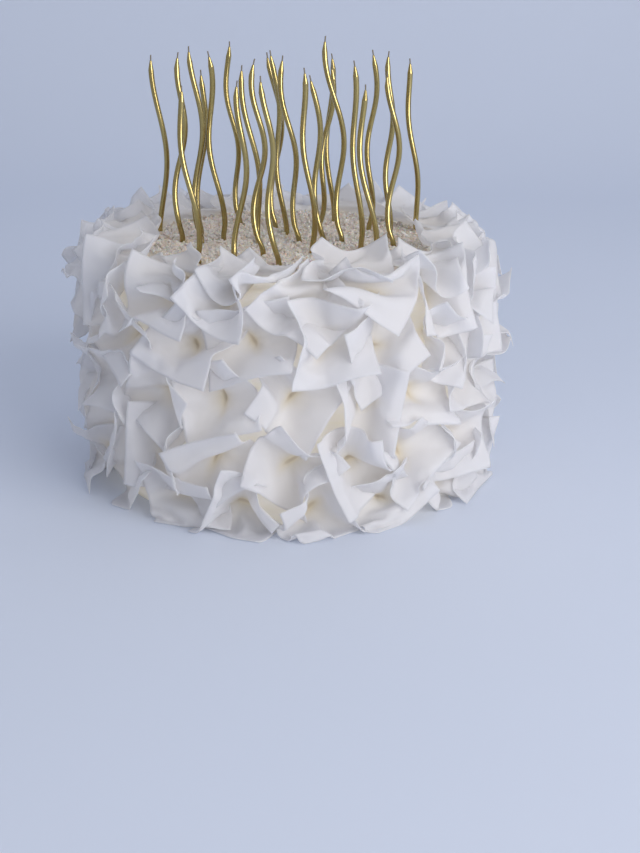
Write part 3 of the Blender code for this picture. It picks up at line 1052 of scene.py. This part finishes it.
def gold_candle(node, candle):
    """One candle, from its hidden foot to the tip of its wick."""
    height = candle[2] / 1000
    shoulder = height - CONE_LENGTH - WICK_LENGTH
    body = np.append(np.linspace(-CANDLE_DEPTH, shoulder - SHOULDER_CUT, CANDLE_STEPS), shoulder)
    cone = shoulder + CONE_LENGTH * CONE_SHARES
    wick = height - WICK_LENGTH * WICK_SHARES
    rises = np.concatenate([body, cone, wick])
    points, marks = [], []
    for index, rise in enumerate(rises):
        x, y = candle_line(candle, rise)
        radius = candle_radius(rise, shoulder) * (WICK_END if index == len(rises) - 1 else 1)
        for side in range(CANDLE_SIDES):
            angle = 2 * pi * side / CANDLE_SIDES
            points.append((x + radius * cos(angle), y + radius * sin(angle), BED_TOP + rise))
            marks.append(float(index >= len(body) + len(cone)))
    foot = tuple(reversed(range(CANDLE_SIDES)))
    tip = tuple(range(len(points) - CANDLE_SIDES, len(points)))
    faces = [foot] + ring_quads(len(points), CANDLE_SIDES) + [tip]
    piece(node + "_rod", points, faces, CANDLE_GOLD, node, {"wick": marks})


for node, candle in zip(CANDLE_NODES, CANDLES):
    gold_candle(node, candle)
print("candles", len(CANDLES))

# %% [markdown]
# The stage is a pale floor that sweeps up into a pale wall, so that no line cuts the picture.

# %% Floor and wall
FLOOR_COLOUR = (0.77, 0.83, 0.95)
FLOOR_CLOUDS = (0.62, 0.67, 0.78)
FLOOR_FRONT, STAGE_HALF, WALL_HEIGHT = -3.0, 4.0, 3.0
SWEEP_START, SWEEP_ROUND, SWEEP_STEPS = 0.9, 0.7, 12


def stage():
    """The floor and the wall, as one sheet."""
    profile = [(FLOOR_FRONT, 0.0), (SWEEP_START, 0.0)]
    for step in range(1, SWEEP_STEPS + 1):
        angle = pi / 2 * step / SWEEP_STEPS
        profile.append((SWEEP_START + SWEEP_ROUND * sin(angle), SWEEP_ROUND * (1 - cos(angle))))
    profile.append((SWEEP_START + SWEEP_ROUND, WALL_HEIGHT))
    points = [(x, y, z) for y, z in profile for x in (-STAGE_HALF, STAGE_HALF)]
    faces = [(2 * i, 2 * i + 1, 2 * i + 3, 2 * i + 2) for i in range(len(profile) - 1)]
    mesh = bpy.data.meshes.new("floor")
    mesh.from_pydata(points, [], faces)
    mesh.shade_smooth()
    finish = Finish("floor_paint")
    shade = finish.noise(3.0, 2.0, finish.place())
    finish.feed(finish.shader, {"Base Color": finish.blend(shade * 0.12, FLOOR_COLOUR, FLOOR_CLOUDS)})
    finish.feed(finish.shader, {"Roughness": 0.85, "Specular IOR Level": 0.2})
    mesh.materials.append(finish.material)
    made = bpy.data.objects.new("floor", mesh)
    bpy.context.scene.collection.objects.link(made)


stage()
print("stage ready")

# %% [markdown]
# The light is that of a room with one large window on the right, a little in front: soft, cool,
# and bright enough to shine through the paper. The left stays in shade, filled by the room. The
# window's brightest pane shows only in shiny things, as the pale line along each gold candle.

# %% Light
KEY_WATTS, FILL_WATTS, TOP_WATTS = 22.4, 1.2, 4.0
PANE_WATTS = 10.0
WORLD_COLOUR, WORLD_STRENGTH = (0.77, 0.80, 0.90), 0.46


def area_light(name, place, target, size, watts, colour):
    data = bpy.data.lights.new(name, "AREA")
    data.shape = "RECTANGLE"
    data.size, data.size_y = size
    data.energy = watts
    data.color = colour
    made = bpy.data.objects.new(name, data)
    bpy.context.scene.collection.objects.link(made)
    made.location = place
    made.rotation_euler = (Vector(target) - Vector(place)).to_track_quat("-Z", "Y").to_euler()
    return made


area_light("window", (1.17, -1.35, 0.75), (0, 0, 0.12), (1.5, 1.6), KEY_WATTS, (1.0, 0.98, 0.97))
pane = area_light("pane", (1.14, -1.32, 0.74), (0, 0, 0.22), (0.5, 1.1), PANE_WATTS, (1.0, 0.98, 0.97))
pane.visible_diffuse = False
area_light("room", (-1.4, -1.6, 0.8), (0, 0, 0.1), (2.2, 1.6), FILL_WATTS, (0.86, 0.91, 1.0))
area_light("ceiling", (0.2, 0.2, 1.9), (0, 0, 0.1), (2.0, 2.0), TOP_WATTS, (0.95, 0.97, 1.0))
world = bpy.data.worlds.new("room_light")
world.use_nodes = True
background = world.node_tree.nodes["Background"]
background.inputs["Color"].default_value = (*WORLD_COLOUR, 1)
background.inputs["Strength"].default_value = WORLD_STRENGTH
bpy.context.scene.world = world
bpy.context.scene.view_settings.view_transform = "Standard"
print("lights set")
